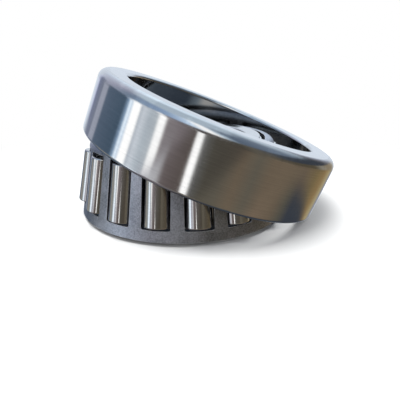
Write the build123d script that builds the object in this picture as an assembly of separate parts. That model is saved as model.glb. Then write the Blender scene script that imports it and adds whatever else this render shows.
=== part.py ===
from build123d import *
from math import cos, radians, sin, tan
import os

# Tapered roller bearing, millimetres, +Z up.
# Origin: centre of the inner ring's bore, on the inner ring's back face.
# The inner ring, cage and rollers stand on the back face. The loose outer ring leans on them.

# Envelope of the bearing
bore_diameter = 63.5
outer_diameter = 122.238
cone_width = 38.354
cup_width = 29.718
assembled_width = 38.1

# Rolling geometry: both raceways and the rollers run to one apex on the bearing's axis
roller_count = 17
cup_raceway_angle = 11.75
cup_raceway_small_radius = 47.5
roller_taper_angle = 1.3
roller_length = 25.6
roller_large_end_height = 7.0
rolling_clearance = 0.1

# Inner ring
small_rib_radius = 39.0
small_rib_height = 33.6
large_rib_radius = 46.0
rib_face_clearance = 0.15
relief_width = 1.2
relief_depth = 0.35
back_bore_radius = 3.5
front_bore_radius = 1.1
ring_edge_radius = 0.6

# Outer ring
cup_back_edge_radius = 4.3
cup_front_edge_radius = 1.5
cup_back_inner_radius = 1.5
cup_front_inner_radius = 0.8
cup_tilt = 21.3
cup_lean_azimuth = 2.0
cup_lean_offset = 8.8

# Cage: a steel shell parallel to the roller axes, with an inward flange at its small end
cage_thickness = 1.8
cage_offset = 3.3
cage_bottom_height = 1.8
cage_top_height = 37.4
cage_flange_radius = 41.5
cage_bend_radius = 3.2
cage_edge_radius = 0.4
pocket_bottom_height = 6.7
pocket_top_height = 34.2
pocket_bottom_width = 13.0
pocket_top_width = 12.3
pocket_side_bevel = 0.35
pocket_corner_radius = 1.0
pocket_cutter_overrun = 3.6
corner_edge_splay_limit = 25
first_pocket_azimuth = -101.2

# Rollers
roller_edge_radius = 0.8

# Derived geometry
bore_radius = bore_diameter / 2
outer_radius = outer_diameter / 2
apex_height = assembled_width + cup_raceway_small_radius / tan(radians(cup_raceway_angle))
roller_axis_angle = cup_raceway_angle - roller_taper_angle
cone_raceway_angle = cup_raceway_angle - 2 * roller_taper_angle
pocket_pitch = 360 / roller_count
axis_sine = sin(radians(roller_axis_angle))
axis_cosine = cos(radians(roller_axis_angle))


def ring_of(profile, radii):
    """Turn a closed (radius, height) outline with rounded corners about the Z axis."""
    outline = FilletPolyline(*[(r, 0, z) for r, z in profile], radius=radii, close=True)
    return revolve(make_face(outline), Axis.Z)


def raceway_radius(height, half_angle, clearance):
    """Radius of a cone through the common apex, set off square to its surface."""
    return (apex_height - height) * tan(radians(half_angle)) + clearance / cos(radians(half_angle))


def axis_distance(height):
    """Distance along a roller's axis from the apex down to a height."""
    return (apex_height - height) / axis_cosine


def sheet_radius(height, offset):
    """Radius of a surface parallel to the roller axes, a set distance outside them."""
    return ((apex_height - height) * axis_sine + offset) / axis_cosine


def roller_plane(distance):
    """Plane square to a roller's axis at azimuth zero: local Z to the apex, local X outwards."""
    return Plane(
        origin=(distance * axis_sine, 0, apex_height - distance * axis_cosine),
        x_dir=(axis_cosine, 0, axis_sine),
        z_dir=(-axis_sine, 0, axis_cosine),
    )


def build_cone():
    """Inner ring: bore, large rib, raceway between two relief grooves, small rib."""
    end_distance = axis_distance(roller_large_end_height) + rib_face_clearance

    def rib_face_height(radius):
        across = (radius - end_distance * axis_sine) / axis_cosine
        return apex_height - end_distance * axis_cosine + across * axis_sine

    def track(height, depth=0.0):
        return raceway_radius(height, cone_raceway_angle, -rolling_clearance) - depth

    groove_bottom = rib_face_height(track(roller_large_end_height))
    groove_top = small_rib_height - relief_width
    track_bottom = groove_bottom + relief_width + relief_depth
    profile = [
        (bore_radius, 0),
        (large_rib_radius, 0),
        (large_rib_radius, rib_face_height(large_rib_radius)),
        (track(groove_bottom, relief_depth), rib_face_height(track(groove_bottom, relief_depth))),
        (track(groove_bottom + relief_width, relief_depth), groove_bottom + relief_width),
        (track(track_bottom), track_bottom),
        (track(groove_top - relief_depth), groove_top - relief_depth),
        (track(groove_top, relief_depth), groove_top),
        (track(small_rib_height, relief_depth), small_rib_height),
        (small_rib_radius, small_rib_height),
        (small_rib_radius, cone_width),
        (bore_radius, cone_width),
    ]
    radii = [back_bore_radius, ring_edge_radius, ring_edge_radius, 0, 0, 0, 0, 0, 0]
    radii += [ring_edge_radius, ring_edge_radius, front_bore_radius]
    return ring_of(profile, radii)


def build_cup():
    """Outer ring, turned about Z with its front face at height zero, then leaned over."""
    seated_front = assembled_width - cup_width
    front_track = raceway_radius(seated_front, cup_raceway_angle, rolling_clearance)
    back_track = raceway_radius(assembled_width, cup_raceway_angle, rolling_clearance)
    profile = [
        (front_track, 0),
        (outer_radius, 0),
        (outer_radius, cup_width),
        (back_track, cup_width),
    ]
    radii = [cup_front_inner_radius, cup_front_edge_radius, cup_back_edge_radius, cup_back_inner_radius]
    ring = ring_of(profile, radii)

    # The lowest point of the rounded front edge touches height zero
    tilt = radians(cup_tilt)
    edge_centre = outer_radius - cup_front_edge_radius
    rise = edge_centre * sin(tilt) - cup_front_edge_radius * cos(tilt) + cup_front_edge_radius
    leaned = Rot(Y=cup_tilt) * ring
    return Rot(Z=cup_lean_azimuth) * Pos(cup_lean_offset, 0, rise) * leaned


def pocket_cutter():
    """Solid that cuts one pocket: sides taper towards the small end and splay outwards."""
    inner_offset = cage_offset - cage_thickness
    depth_range = (inner_offset - pocket_cutter_overrun, cage_offset + pocket_cutter_overrun)
    ends = [(pocket_bottom_height, pocket_bottom_width), (pocket_top_height, pocket_top_width)]
    sections = []
    for height, width in ends:
        # Level on the roller axis that lies square under this height on the shell's outer face
        distance = axis_distance(height) + cage_offset * axis_sine / axis_cosine
        corners = []
        for side in (-1, 1):
            for depth in depth_range[::side]:
                splay = (depth - cage_offset) / cage_thickness * pocket_side_bevel
                corners.append((depth, side * (width / 2 + splay)))
        sections.append(roller_plane(distance) * make_face(Polyline(*corners, close=True)))
    cutter = loft(sections, ruled=True)
    outward = Vector(axis_cosine, 0, axis_sine)

    def is_corner(edge):
        return abs(edge.tangent_at(0).dot(outward)) > cos(radians(corner_edge_splay_limit))

    return fillet(cutter.edges().filter_by(is_corner), pocket_corner_radius)


def build_cage():
    """Pressed cage: conical shell with an inward flange and one pocket for each roller."""
    inner_offset = cage_offset - cage_thickness
    flange_under = cage_top_height - cage_thickness
    profile = [
        (sheet_radius(cage_bottom_height, inner_offset), cage_bottom_height),
        (sheet_radius(cage_bottom_height, cage_offset), cage_bottom_height),
        (sheet_radius(cage_top_height, cage_offset), cage_top_height),
        (cage_flange_radius, cage_top_height),
        (cage_flange_radius, flange_under),
        (sheet_radius(flange_under, inner_offset), flange_under),
    ]
    radii = [cage_edge_radius, cage_edge_radius, cage_bend_radius, cage_edge_radius, cage_edge_radius]
    radii += [cage_bend_radius - cage_thickness]
    shell = ring_of(profile, radii)
    cutter = pocket_cutter()
    pockets = [Rot(Z=first_pocket_azimuth + i * pocket_pitch) * cutter for i in range(roller_count)]
    return shell - pockets


def build_roller():
    """One roller on its tilted axis at azimuth zero, with rounded edges."""
    large_distance = axis_distance(roller_large_end_height)
    taper = tan(radians(roller_taper_angle))
    large_radius = large_distance * taper
    small_radius = (large_distance - roller_length) * taper
    profile = [(0, 0), (large_radius, 0), (small_radius, roller_length), (0, roller_length)]
    radii = [0, roller_edge_radius, roller_edge_radius, 0]
    return roller_plane(large_distance) * ring_of(profile, radii)


os.makedirs("parts", exist_ok=True)
export_step(build_cone(), "parts/cone.step")
export_step(build_cup(), "parts/cup.step")
export_step(build_cage(), "parts/cage.step")
roller = build_roller()
for i in range(roller_count):
    placed = Rot(Z=first_pocket_azimuth + i * pocket_pitch) * roller
    export_step(placed, f"parts/roller_{i + 1:02d}.step")
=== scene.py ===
import math

import bmesh
import bpy
from mathutils import Matrix, Vector


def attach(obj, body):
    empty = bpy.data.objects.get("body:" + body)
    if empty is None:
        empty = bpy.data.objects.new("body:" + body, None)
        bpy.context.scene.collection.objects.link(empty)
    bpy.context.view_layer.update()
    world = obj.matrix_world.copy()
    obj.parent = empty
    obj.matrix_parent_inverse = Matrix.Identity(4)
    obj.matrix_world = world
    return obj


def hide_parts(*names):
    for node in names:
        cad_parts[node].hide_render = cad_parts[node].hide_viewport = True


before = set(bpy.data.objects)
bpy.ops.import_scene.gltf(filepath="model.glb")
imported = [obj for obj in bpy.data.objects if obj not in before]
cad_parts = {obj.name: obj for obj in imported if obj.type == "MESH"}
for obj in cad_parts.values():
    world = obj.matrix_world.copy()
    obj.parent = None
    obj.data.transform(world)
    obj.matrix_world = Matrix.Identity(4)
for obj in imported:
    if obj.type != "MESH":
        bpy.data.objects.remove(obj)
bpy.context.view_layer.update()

MM = 0.001
MICRON = 0.001 * MM

# Sizes of the bearing, as the CAD frame has them, in metres
BORE_RADIUS = 31.75 * MM
OUTER_RADIUS = 61.119 * MM
CONE_WIDTH = 38.354 * MM
CUP_WIDTH = 29.718 * MM
ASSEMBLED_WIDTH = 38.1 * MM
ROLLER_COUNT = 17

CUP_ANGLE = math.radians(11.75)
CUP_SMALL_TRACK = 47.5 * MM
ROLLER_TAPER = math.radians(1.3)
ROLLER_LENGTH = 25.6 * MM
ROLLER_BASE = 7.0 * MM
ROLLER_EDGE = 0.8 * MM
ROLLING_GAP = 0.1 * MM

SMALL_RIB_RADIUS = 39.0 * MM
SMALL_RIB_HEIGHT = 33.6 * MM
LARGE_RIB_RADIUS = 46.0 * MM
RIB_FACE_GAP = 0.15 * MM
RELIEF_WIDTH = 1.2 * MM
RELIEF_DEPTH = 0.35 * MM
RING_EDGE = 0.6 * MM
BACK_BORE_EDGE = 3.5 * MM
FRONT_BORE_EDGE = 1.1 * MM

CUP_TILT = math.radians(21.3)
CUP_AZIMUTH = math.radians(2.0)
CUP_OFFSET = 8.8 * MM
CUP_FRONT_EDGE = 1.5 * MM
CUP_BACK_EDGE = 4.3 * MM
CUP_BACK_INNER = 1.5 * MM
CUP_FRONT_INNER = 0.8 * MM

CAGE_THICKNESS = 1.8 * MM
CAGE_OFFSET = 3.3 * MM
CAGE_BOTTOM = 1.8 * MM
CAGE_TOP = 37.4 * MM
CAGE_FLANGE = 41.5 * MM
CAGE_BEND = 3.2 * MM
CAGE_EDGE = 0.35 * MM
POCKET_BOTTOM = 6.7 * MM
POCKET_TOP = 34.2 * MM
POCKET_BOTTOM_WIDTH = 13.0 * MM
POCKET_TOP_WIDTH = 12.3 * MM
POCKET_CORNER = 1.0 * MM
FIRST_POCKET = math.radians(-101.2)

# Everything conical runs to one apex on the axis
APEX = ASSEMBLED_WIDTH + CUP_SMALL_TRACK / math.tan(CUP_ANGLE)
AXIS_ANGLE = CUP_ANGLE - ROLLER_TAPER
CONE_ANGLE = CUP_ANGLE - 2 * ROLLER_TAPER
PITCH = 2 * math.pi / ROLLER_COUNT

# Steps of the turned meshes: round the axis, and along a rounded edge
RING_SEGMENTS = 288
ROLLER_SEGMENTS = 96
ARC_STEPS = 8

# Steps of one sector of the cage: across half a web, a pocket's corner and the stretch between corners,
# then up the band under or over a pocket, up the web, and round the bend
WEB_STEPS = 4
CORNER_STEPS = 4
MIDDLE_STEPS = 6
BAND_ROWS = 3
WEB_ROWS = 10
BEND_STEPS = 6

TINY = 0.0001 * MM
MERGE_DISTANCE = 0.01 * MM
SHARP_EDGE_ANGLE = math.radians(50)

# What the turned meshes carry for their materials
LATHE = "lathe"
EDGE = "rounded_edge"
TURN_MAP = "turning"


def track_radius(height, angle, gap):
    """Radius of a cone through the apex, set off square to its surface."""
    return (APEX - height) * math.tan(angle) + gap / math.cos(angle)


def sheet_radius(height, offset):
    """Radius of a surface parallel to the roller axes, a set distance outside them."""
    return ((APEX - height) * math.sin(AXIS_ANGLE) + offset) / math.cos(AXIS_ANGLE)


def axis_distance(height):
    """Distance along a roller's axis from the apex down to a height."""
    return (APEX - height) / math.cos(AXIS_ANGLE)


def linked(name, data):
    """Object with this data, in the scene."""
    made = bpy.data.objects.new(name, data)
    bpy.context.collection.objects.link(made)
    return made


# ---------------------------------------------------------------- turned pieces

def rounded(corners, closed=True):
    """Outline of a polygon whose corners (r, z, radius) are rounded.

    A point is (r, z, normal r, normal z, mark). The mark is 1 on a rounded edge and 0 elsewhere.
    A sharp corner is given twice, with the normal of each side, and each end of an arc is given
    twice, with each mark.
    """
    count = len(corners)
    outline = []
    for i, (r, z, radius) in enumerate(corners):
        here = Vector((r, z))
        into = out = None
        if closed or i > 0:
            into = (here - Vector(corners[i - 1][:2])).normalized()
        if closed or i < count - 1:
            out = (Vector(corners[(i + 1) % count][:2]) - here).normalized()
        if into is None or out is None:
            line = into if out is None else out
            outline.append((r, z, line.y, -line.x, 0))
            continue
        if radius <= 0:
            outline.append((r, z, into.y, -into.x, 0))
            outline.append((r, z, out.y, -out.x, 0))
            continue
        turn = -into.angle_signed(out)
        side = 1 if turn > 0 else -1
        start = here - into * radius * math.tan(abs(turn) / 2)
        centre = start + Vector((-into.y, into.x)) * radius * side
        arc = []
        for k in range(ARC_STEPS + 1):
            angle = turn * k / ARC_STEPS
            line = Vector((
                into.x * math.cos(angle) - into.y * math.sin(angle),
                into.x * math.sin(angle) + into.y * math.cos(angle),
            ))
            point = centre + Vector((line.y, -line.x)) * radius * side
            arc.append((point.x, point.y, line.y, -line.x, 1))
        outline += [(*arc[0][:4], 0)] + arc + [(*arc[-1][:4], 0)]
    return outline


def span_length(here, there):
    """Distance between two points of an outline."""
    return math.hypot(here[0] - there[0], here[1] - there[1])


def turned(name, outline, segments, closed=True, place=Matrix.Identity(4)):
    """Mesh object made by turning an outline about Z and then placing it, with exact normals.

    LATHE holds each point as it was before placing, EDGE holds the outline's marks, and the UV map
    runs round the axis and along the outline.
    """
    points, normals, marks, rings = [], [], [], []
    for r, z, normal_r, normal_z, mark in outline:
        if r < TINY:
            rings.append([len(points)] * segments)
            points.append((0, 0, z))
            normals.append((0, 0, math.copysign(1, normal_z)))
            marks.append(mark)
            continue
        rings.append(range(len(points), len(points) + segments))
        for k in range(segments):
            angle = 2 * math.pi * k / segments
            points.append((r * math.cos(angle), r * math.sin(angle), z))
            normals.append((normal_r * math.cos(angle), normal_r * math.sin(angle), normal_z))
            marks.append(mark)

    along = [0.0]
    for here, there in zip(outline, outline[1:] + outline[:1]):
        along.append(along[-1] + span_length(here, there))

    faces, face_maps = [], []
    spans = len(rings) if closed else len(rings) - 1
    for j in range(spans):
        above = (j + 1) % len(rings)
        if span_length(outline[j], outline[above]) < TINY:
            continue
        low, high = rings[j], rings[above]
        for k in range(segments):
            beside = (k + 1) % segments
            corners = [low[k], low[beside], high[beside], high[k]]
            places = [(k, j), (k + 1, j), (k + 1, j + 1), (k, j + 1)]
            # On the axis two corners are one point, and the face is a triangle
            kept = [i for i, corner in enumerate(corners) if corner != corners[i - 1]]
            faces.append([corners[i] for i in kept])
            face_maps += [(places[i][0] / segments, along[places[i][1]] / along[-1]) for i in kept]

    mesh = bpy.data.meshes.new(name)
    mesh.from_pydata([place @ Vector(point) for point in points], [], faces)
    mesh.shade_smooth()
    turn = place.to_3x3()
    mesh.normals_split_custom_set_from_vertices([turn @ Vector(normal) for normal in normals])
    lathe = mesh.attributes.new(LATHE, "FLOAT_VECTOR", "POINT")
    lathe.data.foreach_set("vector", [value for point in points for value in point])
    edge = mesh.attributes.new(EDGE, "FLOAT", "POINT")
    edge.data.foreach_set("value", marks)
    uv = mesh.uv_layers.new(name=TURN_MAP)
    uv.data.foreach_set("uv", [value for pair in face_maps for value in pair])
    return linked(name, mesh)


def inner_ring():
    """Inner ring: bore, large rib, raceway between two relief grooves, small rib."""
    end = axis_distance(ROLLER_BASE) + RIB_FACE_GAP

    def rib_face(radius):
        across = (radius - end * math.sin(AXIS_ANGLE)) / math.cos(AXIS_ANGLE)
        return APEX - end * math.cos(AXIS_ANGLE) + across * math.sin(AXIS_ANGLE)

    def track(height, depth=0.0):
        return track_radius(height, CONE_ANGLE, -ROLLING_GAP) - depth

    groove_bottom = rib_face(track(ROLLER_BASE))
    groove_top = SMALL_RIB_HEIGHT - RELIEF_WIDTH
    track_bottom = groove_bottom + RELIEF_WIDTH + RELIEF_DEPTH
    track_top = groove_top - RELIEF_DEPTH
    corners = [
        (BORE_RADIUS, 0, BACK_BORE_EDGE),
        (LARGE_RIB_RADIUS, 0, RING_EDGE),
        (LARGE_RIB_RADIUS, rib_face(LARGE_RIB_RADIUS), RING_EDGE),
        (track(groove_bottom, RELIEF_DEPTH), rib_face(track(groove_bottom, RELIEF_DEPTH)), 0),
        (track(groove_bottom + RELIEF_WIDTH, RELIEF_DEPTH), groove_bottom + RELIEF_WIDTH, 0),
        (track(track_bottom), track_bottom, 0),
        (track(track_top), track_top, 0),
        (track(groove_top, RELIEF_DEPTH), groove_top, 0),
        (track(SMALL_RIB_HEIGHT, RELIEF_DEPTH), SMALL_RIB_HEIGHT, 0),
        (SMALL_RIB_RADIUS, SMALL_RIB_HEIGHT, RING_EDGE),
        (SMALL_RIB_RADIUS, CONE_WIDTH, RING_EDGE),
        (BORE_RADIUS, CONE_WIDTH, FRONT_BORE_EDGE),
    ]
    return turned("inner_ring", rounded(corners), RING_SEGMENTS)


def outer_ring():
    """Outer ring, leaning with the lowest point of its front edge at height zero."""
    front = track_radius(ASSEMBLED_WIDTH - CUP_WIDTH, CUP_ANGLE, ROLLING_GAP)
    back = track_radius(ASSEMBLED_WIDTH, CUP_ANGLE, ROLLING_GAP)
    corners = [
        (front, 0, CUP_FRONT_INNER),
        (OUTER_RADIUS, 0, CUP_FRONT_EDGE),
        (OUTER_RADIUS, CUP_WIDTH, CUP_BACK_EDGE),
        (back, CUP_WIDTH, CUP_BACK_INNER),
    ]
    edge_centre = OUTER_RADIUS - CUP_FRONT_EDGE
    rise = edge_centre * math.sin(CUP_TILT) + CUP_FRONT_EDGE * (1 - math.cos(CUP_TILT))
    place = (
        Matrix.Rotation(CUP_AZIMUTH, 4, "Z")
        @ Matrix.Translation((CUP_OFFSET, 0, rise))
        @ Matrix.Rotation(CUP_TILT, 4, "Y")
    )
    return turned("outer_ring", rounded(corners), RING_SEGMENTS, place=place)


def roller(index):
    """One tapered roller, on its tilted axis in its pocket."""
    distance = axis_distance(ROLLER_BASE)
    corners = [
        (0, 0, 0),
        (distance * math.tan(ROLLER_TAPER), 0, ROLLER_EDGE),
        ((distance - ROLLER_LENGTH) * math.tan(ROLLER_TAPER), ROLLER_LENGTH, ROLLER_EDGE),
        (0, ROLLER_LENGTH, 0),
    ]
    foot = (distance * math.sin(AXIS_ANGLE), 0, APEX - distance * math.cos(AXIS_ANGLE))
    place = (
        Matrix.Rotation(FIRST_POCKET + index * PITCH, 4, "Z")
        @ Matrix.Translation(foot)
        @ Matrix.Rotation(-AXIS_ANGLE, 4, "Y")
    )
    name = f"roller_piece_{index + 1:02d}"
    return turned(name, rounded(corners, closed=False), ROLLER_SEGMENTS, closed=False, place=place)


# ---------------------------------------------------------------- pressed cage

def cage_columns(width, height):
    """Distances across one sector, from the middle of one web to the middle of the next."""
    edge = PITCH / 2 * sheet_radius(height, CAGE_OFFSET)
    half = width / 2
    reach = half - POCKET_CORNER
    web = [-edge + (edge - half) * k / WEB_STEPS for k in range(WEB_STEPS)]
    corner = [
        -half + POCKET_CORNER * (1 - math.cos(math.pi / 2 * k / CORNER_STEPS))
        for k in range(CORNER_STEPS)
    ]
    middle = [-reach + 2 * reach * k / MIDDLE_STEPS for k in range(MIDDLE_STEPS + 1)]
    return web + corner + middle + [-x for x in reversed(web + corner)]


def pocket_lip(x, width):
    """How far the rounded corner of a pocket stands in from its end, at a distance from its middle."""
    inside = min(max(abs(x) - (width / 2 - POCKET_CORNER), 0), POCKET_CORNER)
    return POCKET_CORNER - math.sqrt(POCKET_CORNER ** 2 - inside ** 2)


def cage_sector():
    """Rows of places (azimuth, radius, height) over one pocket and half of the web on each side.

    A place inside the pocket is None.
    """
    low_columns = cage_columns(POCKET_BOTTOM_WIDTH, POCKET_BOTTOM)
    high_columns = cage_columns(POCKET_TOP_WIDTH, POCKET_TOP)
    low_turns = [x / sheet_radius(POCKET_BOTTOM, CAGE_OFFSET) for x in low_columns]
    high_turns = [x / sheet_radius(POCKET_TOP, CAGE_OFFSET) for x in high_columns]
    bend_start = CAGE_TOP - CAGE_BEND * (1 - math.sin(AXIS_ANGLE))
    bend_centre = sheet_radius(bend_start, CAGE_OFFSET) - CAGE_BEND * math.cos(AXIS_ANGLE)

    def on_sheet(turn, height):
        return turn, sheet_radius(height, CAGE_OFFSET), height

    rows = []
    for k in range(BAND_ROWS + 1):
        row = []
        for x, turn in zip(low_columns, low_turns):
            top = POCKET_BOTTOM + pocket_lip(x, POCKET_BOTTOM_WIDTH)
            row.append(on_sheet(turn, CAGE_BOTTOM + (top - CAGE_BOTTOM) * k / BAND_ROWS))
        rows.append(row)

    web_bottom = POCKET_BOTTOM + POCKET_CORNER
    web_height = POCKET_TOP - POCKET_CORNER - web_bottom
    inside = range(WEB_STEPS + 1, len(low_turns) - WEB_STEPS - 1)
    for k in range(1, WEB_ROWS):
        part = k / WEB_ROWS
        row = []
        for j, (low, high) in enumerate(zip(low_turns, high_turns)):
            place = on_sheet(low * (1 - part) + high * part, web_bottom + web_height * k / WEB_ROWS)
            row.append(None if j in inside else place)
        rows.append(row)

    for k in range(BAND_ROWS + 1):
        row = []
        for x, turn in zip(high_columns, high_turns):
            bottom = POCKET_TOP - pocket_lip(x, POCKET_TOP_WIDTH)
            row.append(on_sheet(turn, bottom + (bend_start - bottom) * k / BAND_ROWS))
        rows.append(row)

    for k in range(1, BEND_STEPS + 1):
        lean = AXIS_ANGLE + (math.pi / 2 - AXIS_ANGLE) * k / BEND_STEPS
        radius = bend_centre + CAGE_BEND * math.cos(lean)
        height = CAGE_TOP - CAGE_BEND + CAGE_BEND * math.sin(lean)
        rows.append([(turn, radius, height) for turn in high_turns])
    rows.append([(turn, CAGE_FLANGE, CAGE_TOP) for turn in high_turns])
    return rows


def join_sectors(mesh):
    """Merge the points that neighbouring sectors share, and turn every face outwards."""
    work = bmesh.new()
    work.from_mesh(mesh)
    bmesh.ops.remove_doubles(work, verts=work.verts, dist=MERGE_DISTANCE)
    bmesh.ops.recalc_face_normals(work, faces=work.faces)
    outward = sum(face.normal.xy.dot(face.calc_center_median().xy) for face in work.faces)
    if outward < 0:
        bmesh.ops.reverse_faces(work, faces=work.faces)
    work.to_mesh(mesh)
    work.free()


def cage_piece():
    """Conical sheet with rounded pockets, bent into an inward flange at its small end."""
    points, faces = [], []

    def add_point(sector, place):
        if place is None:
            return None
        turn, radius, height = place
        azimuth = FIRST_POCKET + sector * PITCH + turn
        points.append((radius * math.cos(azimuth), radius * math.sin(azimuth), height))
        return len(points) - 1

    places = cage_sector()
    for sector in range(ROLLER_COUNT):
        rows = [[add_point(sector, place) for place in row] for row in places]
        for low, high in zip(rows, rows[1:]):
            for j in range(len(low) - 1):
                corners = [low[j], low[j + 1], high[j + 1], high[j]]
                if None not in corners:
                    faces.append(corners)

    mesh = bpy.data.meshes.new("cage_sheet")
    mesh.from_pydata(points, [], faces)
    join_sectors(mesh)
    mesh.shade_smooth()
    piece = linked("cage_sheet", mesh)
    thickness = piece.modifiers.new("thickness", "SOLIDIFY")
    thickness.thickness = CAGE_THICKNESS
    thickness.offset = -1
    thickness.use_even_offset = True
    edges = piece.modifiers.new("edges", "BEVEL")
    edges.width = CAGE_EDGE
    edges.segments = 2
    edges.limit_method = "ANGLE"
    edges.angle_limit = SHARP_EDGE_ANGLE
    edges.harden_normals = True
    # The rounded edges take the cage's second material, whose much lighter colour is a painted highlight
    # along the bevels
    edges.material = 1
    return piece


# ---------------------------------------------------------------- shader nodes

def node(tree, kind, **inputs):
    """New node with values on its inputs. An underscore in an input's name stands for a space."""
    made = tree.nodes.new(kind)
    for key, value in inputs.items():
        made.inputs[key.replace("_", " ")].default_value = value
    return made


def math_node(tree, operation, first, second):
    """Output of a calculation on two numbers or outputs."""
    made = tree.nodes.new("ShaderNodeMath")
    made.operation = operation
    for socket, value in zip(made.inputs, (first, second)):
        if isinstance(value, (int, float)):
            socket.default_value = value
        else:
            tree.links.new(value, socket)
    return made.outputs[0]


def mixed(tree, factor, first, second):
    """Output between two colours, each a tuple or another output."""
    mix = tree.nodes.new("ShaderNodeMix")
    mix.data_type = "RGBA"
    tree.links.new(factor, mix.inputs["Factor"])
    for socket, value in zip((mix.inputs["A"], mix.inputs["B"]), (first, second)):
        if isinstance(value, tuple):
            socket.default_value = (*value, 1)
        else:
            tree.links.new(value, socket)
    return mix.outputs["Result"]


def smooth_step(tree, value, start, end):
    """Output that goes smoothly from 0 at start to 1 at end, whichever of the two is higher."""
    step = node(tree, "ShaderNodeMapRange", From_Min=start, From_Max=end)
    step.interpolation_type = "SMOOTHSTEP"
    tree.links.new(value, step.inputs["Value"])
    return step.outputs[0]


def noise(tree, coords, scale, detail, roughness):
    """Strength of a noise pattern over some coordinates."""
    made = node(tree, "ShaderNodeTexNoise", Scale=scale, Detail=detail, Roughness=roughness)
    tree.links.new(coords, made.inputs["Vector"])
    return made.outputs["Fac"]


def attribute(tree, name, output):
    """One output of a mesh attribute."""
    made = tree.nodes.new("ShaderNodeAttribute")
    made.attribute_name = name
    return made.outputs[output]


def separated(tree, vector):
    """The x, y and z outputs of a vector."""
    split = tree.nodes.new("ShaderNodeSeparateXYZ")
    tree.links.new(vector, split.inputs[0])
    return split.outputs


def new_material(name):
    """Material with nodes, and its tree and shader."""
    material = bpy.data.materials.new(name)
    material.use_nodes = True
    tree = material.node_tree
    return material, tree, tree.nodes["Principled BSDF"]


# ---------------------------------------------------------------- steel

# Noise scales, per metre: marks along their own length, broad variation, grain of the pressed sheet
MARK_SCALE = 40
BROAD_SCALE = 70
GRAIN_SCALE = 1500

# The tones between which the colour, and the roughness, go from one end to the other
COLOUR_TONES = (0.38, 0.62)
ROUGHNESS_TONES = (0.35, 0.65)

# On rounded edges the broad pattern shows more, about this level, and the shine is duller and rounder
EDGE_MOTTLE = 3.0
EDGE_MOTTLE_LEVEL = 0.58
EDGE_ROUGHNESS = 0.08
EDGE_ANISOTROPY_LOSS = 0.7

GROUND_ROUGHNESS_SPREAD = 0.01
QUARTER_TURN = 0.25


def mean(tree, first, second):
    """Output half way between two others."""
    return math_node(tree, "ADD", math_node(tree, "MULTIPLY", first, 0.5),
                     math_node(tree, "MULTIPLY", second, 0.5))


def mark_coordinates(tree, coords, marks):
    """Coordinates that change quickly out from the axis and along it, and slowly round it."""
    x, y, z = separated(tree, coords)
    squares = math_node(tree, "ADD", math_node(tree, "MULTIPLY", x, x), math_node(tree, "MULTIPLY", y, y))
    radius = math_node(tree, "SQRT", squares, 0)
    around = tree.nodes.new("ShaderNodeCombineXYZ")
    tree.links.new(math_node(tree, "MULTIPLY", x, MARK_SCALE), around.inputs[0])
    tree.links.new(math_node(tree, "MULTIPLY", y, MARK_SCALE), around.inputs[1])
    tree.links.new(math_node(tree, "MULTIPLY", math_node(tree, "ADD", radius, z), marks), around.inputs[2])
    return around.outputs[0]


def set_colour(tree, shader, tone, dark, light):
    """Colour that goes from dark to light with a tone."""
    ramp = tree.nodes.new("ShaderNodeValToRGB")
    for element, position, colour in zip(ramp.color_ramp.elements, COLOUR_TONES, (dark, light)):
        element.position = position
        element.color = (*colour, 1)
    tree.links.new(tone, ramp.inputs[0])
    tree.links.new(ramp.outputs[0], shader.inputs["Base Color"])


def toned_roughness(tree, tone, middle, spread):
    """Roughness that goes with a tone, by a spread each way from its middle."""
    first, last = ROUGHNESS_TONES
    made = node(tree, "ShaderNodeMapRange", From_Min=first, From_Max=last,
                To_Min=middle - spread, To_Max=middle + spread)
    tree.links.new(tone, made.inputs["Value"])
    return made.outputs[0]


def set_bump(tree, shader, relief, depth):
    """Fine relief of a set depth."""
    bump = node(tree, "ShaderNodeBump", Strength=1.0, Distance=depth)
    tree.links.new(relief, bump.inputs["Height"])
    tree.links.new(bump.outputs[0], shader.inputs["Normal"])


def ground_steel(name, dark, light, roughness, anisotropy, marks, depth):
    """Ground steel of a turned piece: fine marks run round its axis, over broad soft variation."""
    material, tree, shader = new_material(name)
    coords = attribute(tree, LATHE, "Vector")
    edge = attribute(tree, EDGE, "Fac")
    broad = noise(tree, coords, BROAD_SCALE, detail=5.0, roughness=0.6)
    lines = noise(tree, mark_coordinates(tree, coords, marks), 1.0, detail=2.0, roughness=0.6)
    mottle = math_node(tree, "MULTIPLY", edge, math_node(tree, "SUBTRACT", broad, EDGE_MOTTLE_LEVEL))
    mottle = math_node(tree, "MULTIPLY", mottle, EDGE_MOTTLE)
    tone = math_node(tree, "ADD", mean(tree, broad, lines), mottle)
    shader.inputs["Metallic"].default_value = 1.0
    set_colour(tree, shader, tone, dark, light)
    set_bump(tree, shader, lines, depth)

    smooth = toned_roughness(tree, tone, roughness, GROUND_ROUGHNESS_SPREAD)
    duller = math_node(tree, "ADD", smooth, math_node(tree, "MULTIPLY", edge, EDGE_ROUGHNESS))
    tree.links.new(duller, shader.inputs["Roughness"])

    loss = math_node(tree, "MULTIPLY", edge, EDGE_ANISOTROPY_LOSS)
    kept = math_node(tree, "SUBTRACT", 1.0, loss)
    tree.links.new(math_node(tree, "MULTIPLY", kept, anisotropy), shader.inputs["Anisotropic"])
    shader.inputs["Anisotropic Rotation"].default_value = QUARTER_TURN
    tangent = tree.nodes.new("ShaderNodeTangent")
    tangent.direction_type = "UV_MAP"
    tangent.uv_map = TURN_MAP
    tree.links.new(tangent.outputs[0], shader.inputs["Tangent"])
    return material


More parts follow.
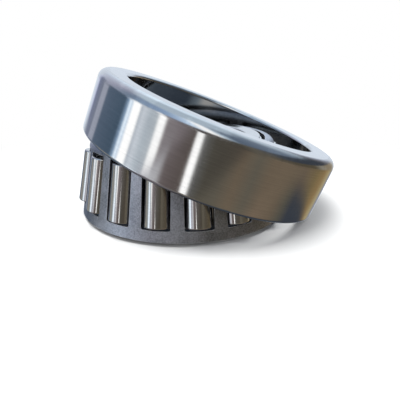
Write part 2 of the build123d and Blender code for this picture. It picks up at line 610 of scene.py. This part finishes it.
def pressed_steel(name, dark, light, roughness, spread, metallic, depth):
    """Dull steel of the pressed cage: a fine even grain, over broad soft variation."""
    material, tree, shader = new_material(name)
    coords = tree.nodes.new("ShaderNodeTexCoord").outputs["Object"]
    broad = noise(tree, coords, BROAD_SCALE, detail=5.0, roughness=0.6)
    grain = noise(tree, coords, GRAIN_SCALE, detail=2.0, roughness=0.7)
    tone = mean(tree, broad, grain)
    shader.inputs["Metallic"].default_value = metallic
    set_colour(tree, shader, tone, dark, light)
    set_bump(tree, shader, grain, depth)
    tree.links.new(toned_roughness(tree, tone, roughness, spread), shader.inputs["Roughness"])
    return material


ring_steel = ground_steel(
    "ground_ring_steel", dark=(0.62, 0.62, 0.62), light=(0.72, 0.72, 0.71),
    roughness=0.10, anisotropy=0.75, marks=4000, depth=0.15 * MICRON,
)
roller_steel = ground_steel(
    "polished_roller_steel", dark=(0.66, 0.65, 0.63), light=(0.76, 0.75, 0.73),
    roughness=0.11, anisotropy=0.6, marks=5000, depth=0.04 * MICRON,
)
cage_steel = pressed_steel(
    "pressed_cage_steel", dark=(0.28, 0.30, 0.34), light=(0.64, 0.66, 0.72),
    roughness=0.38, spread=0.06, metallic=1.0, depth=90 * MICRON,
)
# Much lighter colour for the cage's rounded edges: a painted highlight, standing in for the light that the
# bevels catch
cage_edge_highlight_steel = pressed_steel(
    "painted_highlight_cage_edges", dark=(0.80, 0.82, 0.86), light=(0.92, 0.93, 0.95),
    roughness=0.40, spread=0.04, metallic=0.6, depth=20 * MICRON,
)


# ---------------------------------------------------------------- build

def fit(piece, body, cad_node, slot, *materials):
    """Give a piece its materials, and put it on its body in place of its CAD node."""
    for material in materials:
        piece.data.materials.append(material)
    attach(piece, body)
    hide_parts(cad_node)


fit(inner_ring(), "cone", "cone", "ring_steel", ring_steel)
fit(outer_ring(), "cup", "cup", "ring_steel", ring_steel)
fit(cage_piece(), "cage", "cage", "cage_steel", cage_steel, cage_edge_highlight_steel)
for i in range(ROLLER_COUNT):
    body = f"roller_{i + 1:02d}"
    fit(roller(i), body, body, "roller_steel", roller_steel)


# ---------------------------------------------------------------- floor and light

FLOOR_SIZE = 6
FLOOR_PLACE = (0.01, 0, -0.2 * MM)
FLOOR_COLOUR = (0.88, 0.88, 0.87)
FLOOR_ROUGHNESS = 0.7
FLOOR_FADE_START = 90 * MM
FLOOR_FADE_END = 220 * MM

TOP_LIGHT_PLACE = (-0.1, -0.1, 0.6)
TOP_LIGHT_AIM = (0.01, 0, 0.02)
TOP_LIGHT_SIZE = 0.4
TOP_LIGHT_POWER = 4


def floor_material():
    """Pale matt floor that goes over to plain white away from the bearing."""
    material, tree, shader = new_material("pale_floor")
    shader.inputs["Base Color"].default_value = (*FLOOR_COLOUR, 1)
    shader.inputs["Roughness"].default_value = FLOOR_ROUGHNESS
    distance = tree.nodes.new("ShaderNodeVectorMath")
    distance.operation = "LENGTH"
    tree.links.new(tree.nodes.new("ShaderNodeTexCoord").outputs["Object"], distance.inputs[0])
    fade = smooth_step(tree, distance.outputs["Value"], FLOOR_FADE_START, FLOOR_FADE_END)
    white = node(tree, "ShaderNodeEmission", Strength=1.0, Color=(1, 1, 1, 1))
    mix = tree.nodes.new("ShaderNodeMixShader")
    for socket, value in zip(mix.inputs, (fade, shader.outputs[0], white.outputs[0])):
        tree.links.new(value, socket)
    tree.links.new(mix.outputs[0], tree.nodes["Material Output"].inputs["Surface"])
    return material


def floor_sheet():
    """Level square floor, just under the bearing and not seen in its steel."""
    half = FLOOR_SIZE / 2
    mesh = bpy.data.meshes.new("floor")
    mesh.from_pydata([(-half, -half, 0), (half, -half, 0), (half, half, 0), (-half, half, 0)],
                     [], [(0, 1, 2, 3)])
    mesh.materials.append(floor_material())
    sheet = linked("floor", mesh)
    sheet.location = FLOOR_PLACE
    sheet.visible_glossy = False


def top_light():
    """Soft square lamp over the bearing, not seen in its steel."""
    data = bpy.data.lights.new("top_light", "AREA")
    data.size = TOP_LIGHT_SIZE
    data.energy = TOP_LIGHT_POWER
    lamp = linked("top_light", data)
    lamp.location = TOP_LIGHT_PLACE
    direction = Vector(TOP_LIGHT_AIM) - Vector(TOP_LIGHT_PLACE)
    lamp.rotation_euler = direction.to_track_quat("-Z", "Y").to_euler()
    lamp.visible_glossy = False


# ---------------------------------------------------------------- surroundings that the steel reflects

BRIGHT = (1.0, 1.0, 1.0)
COOL = (0.80, 0.90, 1.0)
SKY = (0.64, 0.76, 0.88)
REAR = (0.50, 0.55, 0.62)
SHADE = (0.05, 0.08, 0.12)
SMOKE = (0.16, 0.18, 0.24)
MAUVE = (0.16, 0.14, 0.15)
OLIVE = (0.10, 0.09, 0.07)
UMBER = (0.13, 0.10, 0.07)
INK = (0.035, 0.042, 0.055)
ZENITH = (0.38, 0.46, 0.54)
SOFT_WHITE = (0.85, 0.86, 0.88)

# Colours round the horizon at five heights. A stop is (degrees from the front towards +X, colour).
LEVEL = [
    (-180, REAR), (-151, REAR), (-145, (0.44, 0.47, 0.62)), (-141, (0.15, 0.17, 0.25)), (-130, SMOKE),
    (-128, (0.28, 0.30, 0.37)), (-120, (0.28, 0.30, 0.37)), (-117.5, (0.08, 0.11, 0.16)), (-90, SHADE),
    (-85, (0.22, 0.32, 0.46)), (-84, COOL), (-82.5, COOL), (-81, (0.30, 0.42, 0.58)), (-79.5, BRIGHT),
    (-72, BRIGHT), (-70.5, (0.36, 0.40, 0.46)), (-67, (0.54, 0.58, 0.64)), (-60, (0.38, 0.43, 0.48)),
    (-53, (0.40, 0.44, 0.48)), (-51.5, BRIGHT), (-46, BRIGHT), (-44.5, (0.20, 0.18, 0.19)), (-30, MAUVE),
    (-18, (0.10, 0.09, 0.09)), (24, (0.055, 0.05, 0.04)), (40, OLIVE), (72, INK), (126, INK),
    (137, (0.08, 0.08, 0.09)), (149, (0.24, 0.26, 0.32)), (160, (0.54, 0.60, 0.68)), (180, REAR),
]
LOW = [
    (-180, REAR), (-151, REAR), (-136, SMOKE), (-118, SHADE), (-112, (0.26, 0.25, 0.23)),
    (-90, (0.20, 0.20, 0.19)), (-78, (0.26, 0.30, 0.34)), (-73, COOL), (-63, COOL),
    (-60, (0.34, 0.34, 0.40)), (-50, (0.28, 0.28, 0.33)), (-46, (0.46, 0.47, 0.50)),
    (-40, (0.40, 0.40, 0.42)), (-36, (0.12, 0.10, 0.10)), (-19.5, (0.08, 0.065, 0.06)), (-18.5, BRIGHT),
    (-13.5, BRIGHT), (-12.5, (0.10, 0.10, 0.10)), (-3, (0.06, 0.055, 0.045)), (24, (0.06, 0.05, 0.04)),
    (34, (0.10, 0.09, 0.07)), (60, (0.07, 0.06, 0.045)), (105, (0.08, 0.065, 0.04)),
    (117, (0.24, 0.22, 0.18)), (130, (0.18, 0.14, 0.09)), (142, (0.26, 0.22, 0.16)), (153, REAR),
    (180, REAR),
]
ABOVE = [
    (-180, SKY), (-155, (0.44, 0.48, 0.58)), (-125, (0.32, 0.33, 0.42)), (-90, (0.15, 0.20, 0.28)),
    (-40, (0.24, 0.34, 0.50)), (-12, (0.50, 0.62, 0.78)), (0, BRIGHT), (10, BRIGHT),
    (18, (0.40, 0.50, 0.60)), (34, (0.08, 0.11, 0.16)), (100, (0.14, 0.18, 0.24)),
    (140, (0.42, 0.50, 0.58)), (165, SKY), (180, SKY),
]
BELOW = [
    (-180, SHADE), (-100, SHADE), (-60, MAUVE), (-20, OLIVE), (8, OLIVE), (22, UMBER), (36, OLIVE),
    (50, UMBER), (90, UMBER), (112, (0.16, 0.12, 0.06)), (128, (0.22, 0.15, 0.07)),
    (140, (0.30, 0.25, 0.14)), (153, SMOKE), (160, REAR), (180, REAR),
]
DEEP = [
    (-180, SHADE), (-60, MAUVE), (-20, OLIVE), (20, OLIVE), (50, (0.16, 0.12, 0.085)), (68, UMBER),
    (82, (0.08, 0.075, 0.06)), (94, INK), (146, INK), (156, (0.12, 0.13, 0.14)), (180, SHADE),
]

# How the bands follow each other. Each takes over from those before it, between two values of the
# direction's z. The first is laid over LOW.
BANDS = [
    (-0.03, 0.02, LEVEL),
    (0.30, 0.46, ABOVE),
    (0.80, 0.94, ZENITH),
    (-0.26, -0.34, BELOW),
    (-0.50, -0.56, DEEP),
    (-0.75, -0.90, INK),
]

# Strength in a first reflection, and the power by which it falls with each further one
GLOSS_STRENGTH = 1.5
GLOSS_FADE = -1.4


def azimuth_ramp(tree, azimuth, stops):
    """Colours round the horizon, from a list of stops."""
    ramp = tree.nodes.new("ShaderNodeValToRGB")
    elements = ramp.color_ramp.elements
    while len(elements) < len(stops):
        elements.new(0.5)
    for element, (degrees, colour) in zip(elements, stops):
        element.position = (degrees + 180) / 360
        element.color = (*colour, 1)
    tree.links.new(azimuth, ramp.inputs[0])
    return ramp.outputs[0]


def reflected_colour(tree):
    """Strip lights between dark and warm panels, by the direction in which the steel looks."""
    x, y, z = separated(tree, tree.nodes.new("ShaderNodeTexCoord").outputs["Generated"])
    turn = math_node(tree, "ARCTAN2", x, math_node(tree, "MULTIPLY", y, -1))
    azimuth = math_node(tree, "ADD", math_node(tree, "DIVIDE", turn, 2 * math.pi), 0.5)
    colour = azimuth_ramp(tree, azimuth, LOW)
    for start, end, band in BANDS:
        over = band if isinstance(band, tuple) else azimuth_ramp(tree, azimuth, band)
        colour = mixed(tree, smooth_step(tree, z, start, end), colour, over)
    return colour


def studio_world():
    """White to the camera, soft white to matt surfaces, and the reflected surroundings to steel."""
    world = bpy.data.worlds.new("studio")
    world.use_nodes = True
    tree = world.node_tree
    background = tree.nodes["Background"]
    path = tree.nodes.new("ShaderNodeLightPath")
    glossy = path.outputs["Is Glossy Ray"]
    colour = mixed(tree, glossy, SOFT_WHITE, reflected_colour(tree))
    colour = mixed(tree, path.outputs["Is Camera Ray"], colour, BRIGHT)
    tree.links.new(colour, background.inputs["Color"])

    bounces = math_node(tree, "MAXIMUM", path.outputs["Glossy Depth"], 1.0)
    fade = math_node(tree, "POWER", bounces, GLOSS_FADE)
    gain = math_node(tree, "SUBTRACT", math_node(tree, "MULTIPLY", fade, GLOSS_STRENGTH), 1.0)
    strength = math_node(tree, "ADD", math_node(tree, "MULTIPLY", glossy, gain), 1.0)
    tree.links.new(strength, background.inputs["Strength"])
    return world


floor_sheet()
top_light()
bpy.context.scene.world = studio_world()


# ---------------------------------------------------------------- camera

CAMERA_PLACE = (8.82 * MM, -201.86 * MM, 76.22 * MM)
CAMERA_PITCH = math.radians(20.155)
NEAREST_SEEN = 5 * MM

# Blender takes these two in millimetres
SENSOR_WIDTH = 36
FOCAL_LENGTH = 35.829

camera_data = bpy.data.cameras.new("camera")
camera_data.sensor_width = SENSOR_WIDTH
camera_data.lens = FOCAL_LENGTH
camera_data.clip_start = NEAREST_SEEN
camera = linked("camera", camera_data)
camera.location = CAMERA_PLACE
camera.rotation_euler = (math.pi / 2 - CAMERA_PITCH, 0, 0)
bpy.context.scene.camera = camera
bpy.context.scene.view_settings.view_transform = "Standard"
